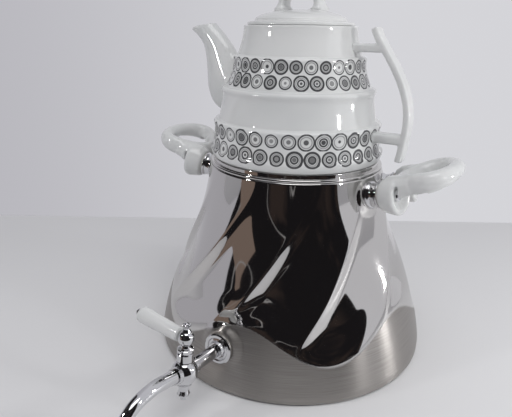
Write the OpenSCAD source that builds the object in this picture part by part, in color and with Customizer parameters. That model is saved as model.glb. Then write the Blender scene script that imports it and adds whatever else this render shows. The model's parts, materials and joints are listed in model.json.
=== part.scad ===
// Stovetop samovar: a fluted steel kettle with a lever tap, two side
// handles, and a porcelain teapot that sits on its open top.
// Z is up and the tap points along -Y. Lengths are in millimetres.

/* [Kettle] */
// Radius of the foot
foot_r = 112; // [106:1:118]
// Radius of the wall's top edge
neck_r = 68.5; // [66:0.5:70]
// Height of the wall's top edge above the table
neck_z = 150; // [144:1:160]
// Height of the upright skirt at the foot
skirt_h = 7; // [5:0.5:10]
// Height of the wall's lower edge above the table
lift = 1; // [0.6:0.1:2]
// Thickness of the wall's sheet steel
sheet_t = 1; // [0.8:0.1:1.4]

/* [Flutes] */
// Number of twisted flutes
flutes = 10; // [8:1:12]
// Depth of a flute
flute_depth = 5; // [3:0.5:6]
// Degrees that a crest turns over 100 mm of height
flute_turn = 42; // [20:1:60]
// Angle of the first crest at table height
flute_start = 14; // [0:1:36]
// Mean height of the smooth band below the flutes
band_h = 40; // [32:1:48]
// Rise and fall of the smooth band's edge
band_wave = 12; // [0:1:15]

/* [Base] */
// Thickness of the aluminium heat spreader
core_t = 4; // [3:0.5:6]
// Radius of the capsule that holds the heat spreader
capsule_r = 98; // [85:1:102]
// Thickness of the sheet below and above the heat spreader
pan_t = 0.8; // [0.6:0.1:1.2]

/* [Collar] */
// Width of the ledge from the wall's top edge in to the opening
ledge_w = 7; // [6.5:0.5:8.5]
// Height of the rolled lip
lip_h = 5.6; // [5:0.2:7]
// Depth of the collar's sleeve inside the kettle
sleeve_h = 9; // [6:1:14]

/* [Teapot] */
// Height of the lowest tier, which is printed
tier1_h = 29; // [26:0.5:32]
// Height of the plain second tier
tier2_h = 24.5; // [21:0.5:28]
// Height of the printed third tier
tier3_h = 22.5; // [20:0.5:26]
// Height of the plain fourth tier
tier4_h = 20.7; // [18:0.5:24]
// Step in from the kettle's top edge to the foot of the first tier
tier1_in = 0.5; // [0:0.5:2]
// Step in from there to the foot of the second tier
tier2_in = 6.5; // [5.5:0.5:7.5]
// Step in from there to the foot of the third tier
tier3_in = 6; // [5:0.5:7]
// Step in from there to the foot of the fourth tier
tier4_in = 8.5; // [7.5:0.5:9.5]
// Step in from there to the rim under the lid
rim_in = 4.5; // [3.5:0.5:5]
// Step in from the rim to the mouth
mouth_in = 8.5; // [7:0.5:11]
// Wall of the porcelain
pot_wall = 3.5; // [3:0.25:4.5]
// Height of the foot that drops into the collar
pot_foot_h = 8; // [5:1:9]
// Width of the handle's strap
strap_w = 14; // [12:1:20]
// Thickness of the handle's strap
strap_t = 5; // [4:0.5:7]

/* [Lid] */
// Step in from the teapot's rim to the lid's
lid_inset = 2.5; // [1.5:0.5:4]
// Height of the lid's dome
dome_h = 11; // [8:0.5:14]
// Wall of the lid
lid_wall = 3; // [2.5:0.25:4]
// Height of the loop on the lid
loop_h = 19; // [16:1:24]
// Width of the loop's strap
loop_w = 13; // [10:1:16]

/* [Side handles] */
// Drop from the wall's top edge to the handles' seats
grip_drop = 13; // [13:0.5:20]
// Turn of a handle's two feet from its middle, about the kettle's axis
foot_spread = 11; // [10:0.5:14]
// Upward tilt of the handles and their screws, square to the wall
grip_tilt = 12; // [8:1:16]
// Length of the chromed stand-off
standoff_l = 9; // [6:1:14]
// Radius of the stand-off's flanges
standoff_r = 10; // [8:0.5:11]
// Thickness of the porcelain boss at the screw
boss_t = 15; // [12:1:17]
// Radius of the porcelain boss
boss_r = 15; // [13:0.5:16]
// Reach of the loop's opening
loop_reach = 24; // [20:1:32]
// Breadth of the loop's opening
loop_breadth = 42; // [34:1:50]
// Height of the loop's top over the screws, square to them
loop_rise = 18; // [16:1:22]
// Radius of the handle screw's shank
grip_screw_r = 2.5; // [2:0.25:3]

/* [Tap] */
// Height of the tap's centre at the wall
tap_z = 33.5; // [31:0.5:37]
// Upward tilt of the tap
tap_tilt = 7; // [0:1:10]
// Distance from the wall's pad to the plug's axis
tap_reach = 39; // [34:1:46]
// Radius of the round plate at the wall
plate_r = 11.2; // [10:0.2:13]
// Radius of the shank
shank_r = 4.6; // [4:0.1:5.5]
// Radius of the valve's ball
ball_r = 9; // [8.5:0.25:10.5]
// Radius of the plug
plug_r = 4; // [3.5:0.1:4.5]
// Radius of the water way
way_r = 2.5; // [2:0.1:2.8]
// Outer radius of the spout's tube where it leaves the ball
spout_r = 4.6; // [4.2:0.1:5]
// Outer radius of the spout's tube at its outlet
outlet_r = 3.8; // [3.6:0.1:4.6]
// Upward slope of the spout where it leaves the ball
spout_lift = 7; // [0:1:12]
// Length of the spout's climb, from the plug's axis
spout_climb = 21; // [16:1:26]
// Radius of the bend where the spout levels off
crook_r = 50; // [25:1:60]
// Length of the spout's level run
spout_run = 3; // [1:1:20]
// Radius of the spout's end bend
beak_r = 26; // [18:1:30]
// Length of the straight end of the spout
beak_l = 3; // [1:0.5:8]
// Length of the porcelain lever
lever_l = 38; // [30:1:45]
// Radius of the porcelain lever's thick end
lever_r = 5.7; // [5:0.1:6.5]
// Turn of the closed lever past the square
lever_turn = 5; // [0:1:15]
// Rise of the lever towards its tip
lever_rise = 3; // [0:1:8]

/* [Fits] */
// Running clearance of the turning plug
run_gap = 0.05; // [0.02:0.01:0.1]
// Gap between parts that are screwed or laid together
seat_gap = 0.1; // [0.05:0.05:0.3]
// Gap between the teapot's foot and the collar
foot_gap = 1.5; // [0.8:0.1:2]
// Gap between the lid's skirt and the mouth
skirt_gap = 0.6; // [0.4:0.1:1]
// Gap under the teapot and under the lid
rest_gap = 0.2; // [0.1:0.05:0.3]

/* [Hidden] */
$fn = 96;

// Colours
steel = [0.78, 0.78, 0.79];
chrome = [0.85, 0.86, 0.88];
porcelain = [0.93, 0.93, 0.91];
silicone = [0.82, 0.8, 0.76];
aluminium = [0.72, 0.73, 0.75];

// Shape of the kettle's wall
flank_power = 1.05;
foot_round = 1.2;
wall_steps = 15;
step_share = 0.24;
flute_steps = [0, 0.08, 0.16, 0.24, 0.4, 0.56, 0.72, 0.88];
fade_low = 24;
fade_top = 80;
band_lobes = 5;
band_low = 44;

// Radii that follow the wall's top edge
collar_bore_r = neck_r - ledge_w;
tier1_r = neck_r - tier1_in;
tier2_r = tier1_r - tier2_in;
tier3_r = tier2_r - tier3_in;
tier4_r = tier3_r - tier4_in;
rim_r = tier4_r - rim_in;
mouth_r = rim_r - mouth_in;

// Pressed flats in the wall
pad_reach = 10;
pad_edge = 0.8;
tap_pad_r = plate_r + pad_edge;
tap_pad_out = 1.2;
grip_pad_r = standoff_r + pad_edge;
grip_pad_out = 1;

function mix(a, b, t) = a + (b - a) * t;
function reversed(list) = [for (k = [len(list) - 1:-1:0]) list[k]];
function ease(t) = t <= 0 ? 0 : t >= 1 ? 1 : t * t * (3 - 2 * t);

// Radius of the wall without flutes: a shoulder at the foot, then a hollow flank
function flank(u) = (pow(1 - u, flank_power) + (1 + cos(180 * u)) / 2) / 2;
function smooth_r(z) = z <= skirt_h ? foot_r : z >= neck_z ? neck_r
    : mix(neck_r, foot_r, flank((z - skirt_h) / (neck_z - skirt_h)));

// A crest climbs round the wall, and behind it the sheet steps in and comes back
function crest(z) = flute_start + flute_turn * z / 100;
function groove(p) = p < step_share ? sin(90 * p / step_share)
    : cos(90 * (p - step_share) / (1 - step_share));
function band_edge(a) = band_h - band_wave * cos(band_lobes * (a - band_low));
function fade(a, z) = ease((z - band_edge(a)) / fade_low) * ease((neck_z - z) / fade_top);
function wall_point(i, p, z, inset) =
    let (a = crest(z) + (i + p) * 360 / flutes)
    let (r = smooth_r(z) - flute_depth * groove(p) * fade(a, z) - inset)
    [r * sin(a), -r * cos(a), z];

// Faces of a closed skin over rings of n points each, listed from below
function skin(n, rings) = concat(
    [[for (i = [0:n - 1]) i]],
    [[for (i = [n - 1:-1:0]) (rings - 1) * n + i]],
    [for (k = [0:rings - 2]) for (i = [0:n - 1])
        let (a = k * n + i, b = k * n + (i + 1) % n)
        each [[a, a + n, b + n], [a, b + n, b]]]);

module wall_solid(rows, inset) {
    points = [for (row = rows) for (i = [0:flutes - 1]) for (p = flute_steps)
        wall_point(i, p, row[0], row[1] + inset)];
    polyhedron(points, skin(flutes * len(flute_steps), len(rows)));
}

wall_rows = concat(
    [[lift, foot_round], [lift + foot_round, 0]],
    [for (k = [0:wall_steps]) [mix(skirt_h, neck_z, k / wall_steps), 0]]);
hollow_rows = concat(
    [[0, foot_round], [lift, foot_round], [lift + foot_round, 0]],
    [for (k = [0:wall_steps - 1]) [mix(skirt_h, neck_z, k / wall_steps), 0]],
    [[neck_z + 1, 0]]);

// Frames: the tap's axis is z in tap_axis, the plug's axis is z in plug_frame, and
// a handle's screws are z in foot_axes. Side is 1 on the right and -1 on the left,
// and x runs out along the handle in grip_frame
grip_z = neck_z - grip_drop;
tap_seat_r = smooth_r(tap_z) + tap_pad_out;
grip_seat_r = smooth_r(grip_z) + grip_pad_out;
module tap_frame() {
    translate([0, -tap_seat_r, tap_z]) rotate([-tap_tilt, 0, 0]) children();
}
module tap_axis() {
    tap_frame() rotate([90, 0, 0]) children();
}
module plug_frame() {
    tap_frame() translate([0, -tap_reach, 0]) children();
}
module grip_frame(side, turn) {
    rotate([0, 0, (side > 0 ? 0 : 180) + turn]) translate([grip_seat_r, 0, grip_z])
        rotate([0, -grip_tilt, 0]) children();
}
module foot_axes(side) {
    for (turn = [foot_spread, -foot_spread]) grip_frame(side, turn) rotate([0, 90, 0]) children();
}
module all_feet() {
    for (side = [1, -1]) foot_axes(side) children();
}

// A ring from z to z + h
module ring(outer, inner, z, h) {
    translate([0, 0, z]) difference() {
        cylinder(r = outer, h = h);
        translate([0, 0, -1]) cylinder(r = inner, h = h + 2);
    }
}

// ---- Kettle ----

// A flat pad of sheet whose face lies at z = 0, with a hole through it
module pad(r) {
    translate([0, 0, -pad_reach]) cylinder(r = r, h = pad_reach);
}
module pad_cuts(r, hole_r) {
    translate([0, 0, -pad_reach - 1]) cylinder(r = r - sheet_t, h = pad_reach + 1 - sheet_t);
    cylinder(r = r, h = pad_reach);
    translate([0, 0, -pad_reach]) cylinder(r = hole_r, h = 2 * pad_reach);
}

module kettle_body() {
    color(steel) difference() {
        union() {
            wall_solid(wall_rows, 0);
            tap_axis() pad(tap_pad_r);
            all_feet() pad(grip_pad_r);
        }
        wall_solid(hollow_rows, sheet_t);
        tap_axis() pad_cuts(tap_pad_r, shank_r + seat_gap);
        all_feet() pad_cuts(grip_pad_r, grip_screw_r + seat_gap);
    }
}

pan_z = pan_t + core_t;
module capsule_cover() {
    color(steel) difference() {
        cylinder(r = capsule_r, h = pan_z);
        translate([0, 0, pan_t]) cylinder(r = capsule_r - pan_t, h = core_t + 1);
    }
}

module core_disc() {
    color(aluminium) translate([0, 0, pan_t])
        cylinder(r = capsule_r - pan_t - seat_gap, h = core_t);
}

// The pan's rim turns up inside the wall, whose flats come in a little from foot_r
pan_gap = 0.4;
pan_rim = 3;
module bottom_pan() {
    pan_r = foot_r - sheet_t - pan_gap;
    color(steel) difference() {
        translate([0, 0, pan_z]) cylinder(r = pan_r, h = pan_rim);
        translate([0, 0, pan_z + pan_t]) cylinder(r = pan_r - pan_t, h = pan_rim);
    }
}

// The collar lies on the wall's edge, rolls out over it and hangs a sleeve inside
module top_collar() {
    color(steel) rotate_extrude() {
        translate([collar_bore_r, neck_z - sleeve_h]) square([sheet_t, sleeve_h + lip_h / 2]);
        translate([collar_bore_r, neck_z]) square([neck_r - collar_bore_r, sheet_t]);
        translate([collar_bore_r, neck_z]) square([neck_r - collar_bore_r - lip_h / 2, lip_h]);
        translate([neck_r - lip_h / 2, neck_z + lip_h / 2]) circle(r = lip_h / 2, $fn = 48);
    }
}

// ---- Side handles ----

cushion_t = 1;
boss_x = standoff_l + cushion_t;
screw_hole_r = grip_screw_r + seat_gap;
head_r = 2 * grip_screw_r - 0.5;
head_h = 2.6;
head_bevel = 0.8;
dish_r = boss_r - 3;
dish_h = 5;
access_r = head_r + 2.5;
waist = 1.5;
flange_t = 1.5;

module standoff(side) {
    color(chrome) foot_axes(side) rotate_extrude() polygon([
        [screw_hole_r, 0], [standoff_r, 0], [standoff_r, flange_t],
        [standoff_r - waist, 2 * flange_t], [standoff_r - waist, standoff_l - 2 * flange_t],
        [standoff_r, standoff_l - flange_t], [standoff_r, standoff_l],
        [screw_hole_r, standoff_l]]);
}
module standoff_right() {
    standoff(1);
}
module standoff_left() {
    standoff(-1);
}

module grip_cushions() {
    color(silicone) all_feet()
        ring(standoff_r - cushion_t, screw_hole_r, standoff_l, cushion_t);
}

// The loop is a closed band of tall oval sections round an oval opening. It is low at
// its far end, and both its top and its underside sink a little towards the bosses
loop_turns = 40;
loop_sides = 12;
loop_wall = 6;
loop_low = 11;
loop_tall = 18;
loop_sink = 4.5;
loop_slim = 0.2;
loop_start = boss_x + 3;
function loop_path(s) = [
    loop_start + loop_wall + (loop_reach / 2 + loop_wall) * (1 + cos(s)),
    (loop_breadth / 2 + loop_wall) * sin(s) * (1 + loop_slim * cos(s)) / (1 + loop_slim / 2)];
function loop_normal(s) =
    let (d = loop_path(s + 1) - loop_path(s - 1))
    [d[1], -d[0]] / norm(d);
function loop_height(s) = mix(loop_low, loop_tall, pow((1 - cos(s)) / 2, 0.6));
function loop_top(s) = loop_rise - loop_sink * pow((1 - cos(s)) / 2, 2);
function loop_point(s, t) =
    let (c = loop_path(s), n = loop_normal(s), h = loop_height(s))
    [c[0] + loop_wall * cos(t) * n[0], c[1] + loop_wall * cos(t) * n[1],
        loop_top(s) - h / 2 * (1 - sin(t))];

// Faces of a band whose last ring meets its first
function band_skin(n, rings) = [for (k = [0:rings - 1]) for (i = [0:n - 1])
    let (a = k * n + i, b = k * n + (i + 1) % n)
    let (c = ((k + 1) % rings) * n + i, d = ((k + 1) % rings) * n + (i + 1) % n)
    each [[a, b, d], [a, d, c]]];

dish_z = boss_x + boss_t - dish_h;
module grip(side) {
    color(porcelain) difference() {
        union() {
            grip_frame(side, 0) polyhedron(
                [for (k = [0:loop_turns - 1]) for (i = [0:loop_sides - 1])
                    loop_point(k * 360 / loop_turns, i * 360 / loop_sides)],
                band_skin(loop_sides, loop_turns));
            foot_axes(side) translate([0, 0, boss_x]) rotate_extrude() polygon([
                [0, 0], [boss_r - 2, 0], [boss_r - 0.6, 0.8], [boss_r, 2.5],
                [boss_r, boss_t - 3.5], [boss_r - 0.8, boss_t - 1.2],
                [boss_r - 2.5, boss_t], [0, boss_t]]);
        }
        foot_axes(side) {
            cylinder(r = screw_hole_r, h = boss_x + boss_t);
            translate([0, 0, dish_z]) cylinder(r1 = head_r + 1, r2 = dish_r, h = dish_h);
            translate([0, 0, dish_z]) cylinder(r = access_r, h = 2 * boss_t);
        }
    }
}
module grip_right() {
    grip(1);
}
module grip_left() {
    grip(-1);
}

// Inside the wall: a seal, a washer and a domed nut
seal_t = 1.2;
seal_r = standoff_r - 3;
washer_t = 1;
nut_h = 6;
cap_h = 1.5;
nut_r = 2 * grip_screw_r - 0.4;
seat_in = -sheet_t - seal_t - washer_t;
slot_w = 0.9;
slot_h = 1.4;
module grip_screws() {
    tail = seat_in - nut_h + cap_h;
    color(chrome) all_feet() difference() {
        union() {
            translate([0, 0, tail]) cylinder(r = grip_screw_r, h = dish_z - tail);
            translate([0, 0, dish_z]) cylinder(r = head_r, h = head_h - head_bevel);
            translate([0, 0, dish_z + head_h - head_bevel])
                cylinder(r1 = head_r, r2 = head_r - 1.5 * head_bevel, h = head_bevel);
        }
        for (turn = [0, 90]) rotate([0, 0, turn])
            translate([-grip_screw_r, -slot_w / 2, dish_z + head_h - slot_h])
                cube([2 * grip_screw_r, slot_w, 2 * slot_h]);
    }
}

module grip_seals() {
    color(silicone) all_feet() ring(seal_r, screw_hole_r, -sheet_t - seal_t, seal_t);
}

module grip_washers() {
    color(steel) all_feet() ring(seal_r + 0.5, screw_hole_r, seat_in, washer_t);
}

module grip_nuts() {
    color(steel) all_feet() difference() {
        union() {
            translate([0, 0, seat_in - nut_h + cap_h])
                cylinder(r = nut_r, h = nut_h - cap_h, $fn = 6);
            translate([0, 0, seat_in - nut_h + cap_h])
                sphere(r = nut_r * cos(30), $fn = 48);
        }
        translate([0, 0, seat_in - nut_h + cap_h - seat_gap]) cylinder(r = screw_hole_r, h = nut_h);
    }
}

// ---- Tap, fixed parts ----

gasket_t = 1.2;
plate_t = 4;
plate_bead = 0.8;
tap_thread = 15;
tap_hole_r = shank_r + seat_gap;
tap_nut_r = shank_r + 4.9;
tap_nut_h = 6;
tap_in = -sheet_t - gasket_t;
body_top = ball_r - 1;
body_low = 1.2 - ball_r;
body_foot_r = plug_r + 1.2;
plug_bore_r = plug_r + run_gap;
socket_wall = 0.9;

module tap_gasket() {
    color(silicone) tap_axis() ring(plate_r - plate_bead, tap_hole_r, 0, gasket_t);
}

module tap_escutcheon() {
    edge = gasket_t + 2;
    color(chrome) tap_axis() rotate_extrude() polygon([
        [tap_hole_r, gasket_t], [plate_r, gasket_t], [plate_r, edge - plate_bead],
        [plate_r - plate_bead, edge], [plate_r - 3 * plate_bead, edge],
        [plate_r - 4 * plate_bead, edge - plate_bead], [shank_r + 2, edge - plate_bead / 2],
        [shank_r + 1, gasket_t + plate_t], [tap_hole_r, gasket_t + plate_t]]);
}

module tap_seal() {
    color(silicone) tap_axis() ring(tap_nut_r - 0.5, tap_hole_r, tap_in, gasket_t);
}

module tap_washer() {
    color(steel) tap_axis() ring(tap_nut_r, tap_hole_r, tap_in - washer_t, washer_t);
}

module tap_nut() {
    color(steel) tap_axis() translate([0, 0, tap_in - washer_t - tap_nut_h]) difference() {
        cylinder(r = tap_nut_r, h = tap_nut_h, $fn = 6);
        translate([0, 0, -1]) cylinder(r = tap_hole_r, h = tap_nut_h + 2);
    }
}

module tap_body() {
    color(chrome) difference() {
        union() {
            tap_axis() translate([0, 0, -tap_thread])
                cylinder(r = shank_r, h = tap_thread + tap_reach);
            tap_axis() translate([0, 0, tap_reach - ball_r - 1.5])
                cylinder(r = shank_r + socket_wall, h = ball_r / 2);
            plug_frame() rotate_extrude() intersection() {
                translate([0, body_low]) square([ball_r + 1, body_top - body_low]);
                union() {
                    circle(r = ball_r);
                    translate([0, body_low]) square([body_foot_r, ball_r]);
                    square([body_foot_r, body_top]);
                }
            }
            plug_frame() rotate([90 - spout_lift, 0, 0])
                cylinder(r = spout_r + socket_wall, h = ball_r + 1.5);
        }
        plug_frame() translate([0, 0, body_low - 1])
            cylinder(r = plug_bore_r, h = body_top - body_low + 2);
        tap_axis() translate([0, 0, -tap_thread - 1])
            cylinder(r = way_r, h = tap_thread + tap_reach + 1);
        plug_frame() rotate([90 - spout_lift, 0, 0]) {
            cylinder(r = way_r, h = ball_r + 3);
            translate([0, 0, spout_in]) cylinder(r = spout_r + seat_gap, h = ball_r);
        }
    }
}

// The spout's centre line in the plug's frame: at each ring the point [out, up]
// and the slope. It climbs out of the ball, levels off, runs on and turns down
function heading(a) = [cos(a), sin(a)];
function ahead(ring, l) = [ring[0] + l * heading(ring[1]), ring[1]];
function turned(ring, r, to, n) = [for (k = [1:n])
    let (a = mix(ring[1], to, k / n))
    [ring[0] + r * [sin(ring[1]) - sin(a), cos(a) - cos(ring[1])], a]];
function last(list) = list[len(list) - 1];
spout_in = 6.5;
spout_slope = -2.5 - tap_tilt;
spout_root = [[spout_in * heading(spout_lift), spout_lift],
    [spout_climb * heading(spout_lift), spout_lift]];
crook = turned(last(spout_root), crook_r, spout_slope, 6);
beak = turned(ahead(last(crook), spout_run), beak_r, -90 - tap_tilt, 14);
spout_rings = concat(spout_root, crook, [ahead(last(crook), spout_run)], beak,
    [ahead(last(beak), beak_l)]);
tube_sides = 16;
function tube_ring(ring, r) = [for (i = [0:tube_sides - 1])
    let (t = i * 360 / tube_sides, p = ring[0] + r * cos(t) * heading(ring[1] + 90))
    [r * sin(t), -p[0], p[1]]];

module spout_tube() {
    count = len(spout_rings) - 1;
    walk = concat([for (k = [0:count]) tube_ring(spout_rings[k], mix(spout_r, outlet_r, k / count))],
        [for (ring = reversed(spout_rings)) tube_ring(ring, way_r + seat_gap)]);
    color(chrome) plug_frame() polyhedron([for (ring = walk) each ring],
        band_skin(tube_sides, len(walk)));
}

// ---- Tap, turning parts ----

// Heights along the plug's axis, from its foot to the crown's seat
turn_gap = 0.2;
plug_low = body_low - turn_gap;
column_z = body_top + turn_gap;
column_r = plug_r + 1.5;
column_l = 9;
stem_z = column_z + column_l;
stem_l = 2;
knob_r = 5.4;
knob_flat = 0.5;
knob_z = stem_z + stem_l + knob_r - knob_flat;
crown_z = knob_z + knob_r - knob_flat;
crown_r = 3.1;
rod_r = 2;
stud_r = 2;
stud_hole_r = stud_r + seat_gap;
stud_l = 12;
ring_r = 0.6;
foot_washer_t = 0.8;

module plug_ring_places() {
    for (z = [body_low + 3, body_top - 2.4]) translate([0, 0, z]) children();
}

module plug() {
    color(chrome) plug_frame() difference() {
        union() {
            translate([0, 0, plug_low]) cylinder(r = plug_r, h = column_z + 1 - plug_low);
            translate([0, 0, plug_low - stud_l]) cylinder(r = stud_r, h = stud_l + 1);
            rotate_extrude() polygon([
                [0, column_z], [column_r - 0.5, column_z], [column_r, column_z + 0.5],
                [column_r, stem_z - 3.6], [column_r - 0.5, stem_z - 3],
                [column_r - 1, stem_z - 2.8], [column_r - 1, stem_z - 2.2],
                [column_r, stem_z - 1.8], [column_r, stem_z - 0.4],
                [column_r - 0.6, stem_z], [stud_r + 1.2, stem_z + 0.8],
                [stud_r + 0.8, stem_z + stem_l], [0, stem_z + stem_l]]);
            translate([0, 0, stem_z]) cylinder(r = stud_r, h = crown_z + 2 - stem_z);
        }
        rotate([0, 90, 0]) cylinder(r = way_r, h = 3 * plug_r, center = true);
        plug_ring_places() rotate_extrude() translate([plug_r - 2 * ring_r, -ring_r])
            square([3, 2 * ring_r]);
    }
}

module plug_rings() {
    color([0.12, 0.12, 0.12]) plug_frame() plug_ring_places() rotate_extrude()
        translate([plug_r - ring_r - run_gap, 0]) circle(r = ring_r - run_gap, $fn = 24);
}

module plug_washer() {
    color(chrome) plug_frame()
        ring(column_r - 0.3, stud_hole_r, plug_low - foot_washer_t, foot_washer_t);
}

// A small fluted crown that stands on its foot at z = 0 and rises to h
bead_r = 1.1;
module crown(r, h, beads) {
    cylinder(r1 = r, r2 = r - 1, h = 0.3 * h);
    cylinder(r = r - 1, h = 0.65 * h);
    translate([0, 0, 0.4 * h]) cylinder(r1 = r - 1, r2 = r - 0.3, h = 0.25 * h);
    for (k = [0:beads - 1]) rotate([0, 0, k * 360 / beads]) translate([r - bead_r, 0, 0.68 * h])
        sphere(r = bead_r, $fn = 24);
    translate([0, 0, 0.65 * h]) sphere(r = 0.35 * h, $fn = 32);
}

// The nut under the valve is a crown that hangs upside down
nut_crown_r = 4.5;
nut_crown_h = 10.5;
module bottom_nut() {
    color(chrome) plug_frame() translate([0, 0, plug_low - foot_washer_t]) difference() {
        mirror([0, 0, 1]) crown(nut_crown_r, nut_crown_h, 8);
        translate([0, 0, foot_washer_t - stud_l - seat_gap]) cylinder(r = stud_hole_r, h = stud_l);
    }
}

module lever_ball() {
    color(chrome) plug_frame() difference() {
        translate([0, 0, knob_z]) sphere(r = knob_r);
        cylinder(r = stud_hole_r, h = 2 * knob_z);
        translate([0, 0, stem_z]) cylinder(r = knob_r, h = stem_l);
        translate([0, 0, crown_z]) cylinder(r = knob_r, h = knob_r);
        lever_axis() translate([0, 0, rod_start - seat_gap])
            cylinder(r = rod_r + seat_gap, h = knob_r);
        lever_axis() translate([0, 0, grip_start - seat_gap])
            cylinder(r = lever_r, h = knob_r);
    }
}

// The lever crosses over the tap; z runs out along it
module lever_axis() {
    translate([0, 0, knob_z]) rotate([0, 0, -lever_turn])
        rotate([0, lever_rise - 90, 0]) children();
}

crown_h = 6;
module crown_finial() {
    color(chrome) plug_frame() translate([0, 0, crown_z]) difference() {
        crown(crown_r, crown_h, 6);
        translate([0, 0, -1]) cylinder(r = stud_r + seat_gap / 2, h = 3 + seat_gap);
    }
}

rod_start = stud_r + 0.8;
grip_start = knob_r - 0.3;
tip_r = 3.2;
tip_t = 1.2;
rod_end = grip_start + lever_l + 1.5 * tip_t;
module lever_rod() {
    color(steel) plug_frame() lever_axis() translate([0, 0, rod_start])
        cylinder(r = rod_r, h = rod_end - rod_start);
}

module lever_grip() {
    color(porcelain) plug_frame() lever_axis() translate([0, 0, grip_start]) rotate_extrude()
        polygon([[rod_r + seat_gap, 0], [lever_r - 1.8, 0], [lever_r - 0.9, 0.9],
            [lever_r - 0.4, lever_l / 2], [lever_r, lever_l - 3],
            [lever_r - 0.5, lever_l - 1.2], [lever_r - 1.8, lever_l],
            [rod_r + seat_gap, lever_l]]);
}

module lever_tip() {
    color(chrome) plug_frame() lever_axis() translate([0, 0, grip_start + lever_l]) difference() {
        union() {
            cylinder(r = tip_r, h = tip_t);
            translate([0, 0, tip_t]) difference() {
                sphere(r = tip_r - 0.4, $fn = 48);
                translate([0, 0, -tip_r]) cylinder(r = tip_r, h = tip_r);
            }
        }
        cylinder(r = rod_r + seat_gap, h = 1.5 * tip_t + seat_gap);
    }
}

// ---- Teapot ----

pot_z = neck_z + lip_h + rest_gap;
pot_foot_r = collar_bore_r - foot_gap;
tiers = [[0, tier1_h, tier1_r, tier1_r - 3.2],
    [tier1_h, tier2_h, tier2_r, tier2_r - 1.8],
    [tier1_h + tier2_h, tier3_h, tier3_r, tier3_r - 5],
    [tier1_h + tier2_h + tier3_h, tier4_h, tier4_r, rim_r]];
pot_h = tier1_h + tier2_h + tier3_h + tier4_h;
curl_h = 8;
curl_r = 3.5;
shoulder_h = 2.4;
foot_ring_h = 1.5;
foot_ring_w = 4;

// Outline of one tier: it leans in from its foot and turns over at its shoulder
function tier_side(t, from) = [for (k = [0:5])
    [mix(t[2], t[3], sin(90 * mix(from, 1, k / 5))),
        t[0] + mix(from, 1, k / 5) * (t[1] - shoulder_h)]];
function tier_turn(t, next_r) = [
    [t[3] - shoulder_h / 6, t[0] + t[1] - shoulder_h / 2],
    [t[3] - shoulder_h * 0.6, t[0] + t[1] - shoulder_h / 4],
    [mix(t[3], next_r, 0.7), t[0] + t[1] - shoulder_h / 24]];
function pot_side() = concat(
    [for (a = [0:15:75]) [tier1_r - curl_r * (1 - sin(a)), curl_h * (1 - cos(a))]],
    tier_side(tiers[0], 0.28), tier_turn(tiers[0], tier2_r),
    tier_side(tiers[1], 0.02), tier_turn(tiers[1], tier3_r),
    tier_side(tiers[2], 0.02), tier_turn(tiers[2], tier4_r),
    tier_side(tiers[3], 0.02), [[rim_r - 0.6, pot_h]]);

module pot_outer() {
    rotate_extrude() polygon(concat(
        [[0, foot_ring_h - pot_foot_h], [pot_foot_r - foot_ring_w - 1, foot_ring_h - pot_foot_h],
            [pot_foot_r - foot_ring_w, -pot_foot_h], [pot_foot_r - 1, -pot_foot_h],
            [pot_foot_r, 1 - pot_foot_h], [pot_foot_r, 0]],
        pot_side(), [[0, pot_h]]));
}
module pot_inner() {
    floor_z = foot_ring_h - pot_foot_h + pot_wall;
    floor_r = pot_foot_r - pot_wall;
    rotate_extrude() polygon(concat(
        [[0, floor_z], [floor_r - 3, floor_z], [floor_r, floor_z + 2.5], [floor_r, pot_wall]],
        [for (p = pot_side()) if (p[1] > curl_h && p[1] < pot_h - 6) [p[0] - pot_wall, p[1]]],
        [[mouth_r, pot_h - 4], [mouth_r, pot_h + 1], [0, pot_h + 1]]));
}

// Stations of the spout: the point on its outer edge, the point on its inner edge,
// and half its breadth. A point is [hundredths of tier1_r out, hundredths of pot_h up]
spout_stations = [
    [[85, 25], [68, 58], 19], [[112, 33], [73.5, 67], 20], [[123, 45.5], [79.5, 73.5], 18.5],
    [[125, 62], [86, 79], 16], [[127, 73.5], [91, 84], 14.7], [[131, 84], [98, 89], 13.5],
    [[139, 91], [106, 95], 13], [[148.5, 96], [114.5, 100.5], 12.5]];
spout_sides = 20;
spout_wall = 3;
function placed(p) = [p[0] * tier1_r, p[1] * pot_h] / 100;
module pot_spout(inset, over) {
    lip = last(spout_stations);
    throat = spout_stations[len(spout_stations) - 2];
    stations = over == 0 ? spout_stations
        : concat(spout_stations, [lip + (lip - throat) * over]);
    points = [for (s = stations) for (i = [0:spout_sides - 1])
        let (mid = placed(s[0] + s[1]) / 2, half = placed(s[0] - s[1]) / 2)
        let (grow = (norm(half) - inset) / norm(half), a = i * 360 / spout_sides)
        [-mid[0] - half[0] * grow * cos(a), (inset - s[2] * tier1_r / 100) * sin(a),
            mid[1] + half[1] * grow * cos(a)]];
    polyhedron(points, skin(spout_sides, len(stations)));
}

// The strap's middle line, with points as above. It stands on two bridges, and its
// ends run past them
strap_line = [[86, 99], [90.5, 92.5], [99.3, 83.5], [109, 73.6], [117, 63.8], [122.5, 55],
    [126.5, 45.7], [128, 36.4], [127.6, 27.1], [126.2, 18.8], [125, 11.6], [123.5, 6]];
function strap_edge(side) = [for (k = [0:len(strap_line) - 1])
    let (a = placed(strap_line[max(k - 1, 0)]))
    let (b = placed(strap_line[min(k + 1, len(strap_line) - 1)]))
    placed(strap_line[k]) + side * strap_t / 2 * [a[1] - b[1], b[0] - a[0]] / norm(b - a)];
function strap_out(up) = lookup(up, [for (p = reversed(strap_line)) [p[1], p[0]]]);
high_bridge_up = 82.3;
high_bridge_t = 6;
low_bridge_up = 18.1;
low_bridge_t = 7;
module bridge(from, up, thick) {
    low = placed([0, up])[1];
    to = placed([strap_out(up + 50 * thick / pot_h), 0])[0];
    translate([from, -strap_w / 2, low]) cube([to - from, strap_w, thick]);
}
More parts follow.
